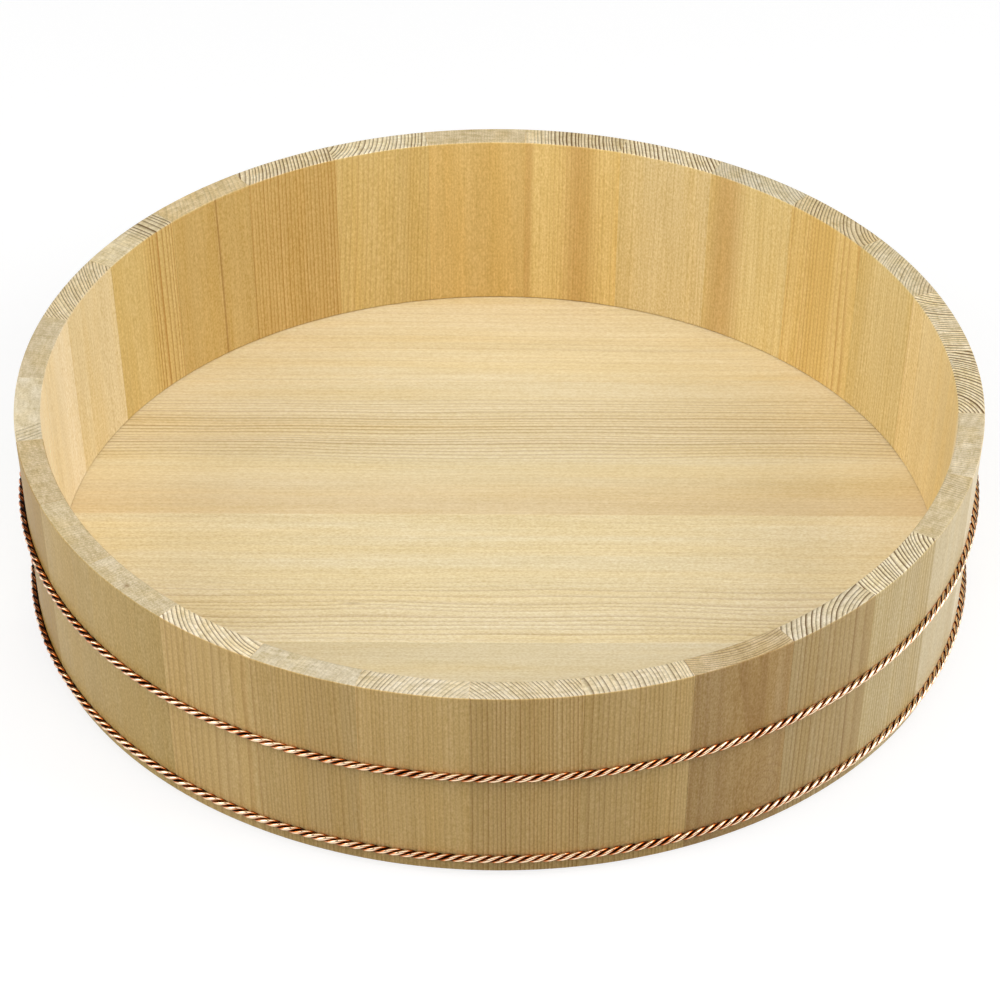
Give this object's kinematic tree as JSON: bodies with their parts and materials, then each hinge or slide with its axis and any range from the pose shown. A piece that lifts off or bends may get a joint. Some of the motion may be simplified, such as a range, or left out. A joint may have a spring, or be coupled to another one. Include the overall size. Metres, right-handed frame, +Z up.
{
  "type": "sushi rice tub",
  "caption": "Wide, shallow round wooden tub of tapered staves on a let-in floor of joined boards, bound by hoops of twisted copper wire, for cooling and seasoning rice.",
  "frame": {"origin": "middle of the circle that the foot stands on", "axes": "+Z up along the tub's axis, +X along the grain of the floor boards, -Y towards the viewer"},
  "size_m": [0.5398, 0.5398, 0.125],
  "materials": {
    "stave_wood": "bare planed conifer, fine growth lines, matt",
    "floor_wood": "bare planed conifer, grain along the boards, matt",
    "copper_wire": "bright drawn copper wire, twisted",
    "bamboo": "split bamboo, shaved round"
  },
  "bodies": {
    "root": {"stave_01": "stave_wood", "stave_02": "stave_wood", "stave_03": "stave_wood", "stave_04": "stave_wood", "stave_05": "stave_wood", "stave_06": "stave_wood", "stave_07": "stave_wood", "stave_08": "stave_wood", "stave_09": "stave_wood", "stave_10": "stave_wood", "stave_11": "stave_wood", "stave_12": "stave_wood", "stave_13": "stave_wood", "stave_14": "stave_wood", "stave_15": "stave_wood", "stave_16": "stave_wood", "stave_17": "stave_wood", "stave_18": "stave_wood", "stave_19": "stave_wood", "stave_20": "stave_wood", "stave_21": "stave_wood", "stave_22": "stave_wood", "stave_23": "stave_wood", "stave_24": "stave_wood", "stave_25": "stave_wood", "stave_26": "stave_wood", "stave_27": "stave_wood", "stave_28": "stave_wood", "floor_board_1": "floor_wood", "floor_board_2": "floor_wood", "floor_board_3": "floor_wood", "floor_board_4": "floor_wood", "upper_hoop": "copper_wire", "lower_hoop": "copper_wire", "stave_pegs": "bamboo", "floor_pegs": "bamboo"}
  },
  "joints": []
}
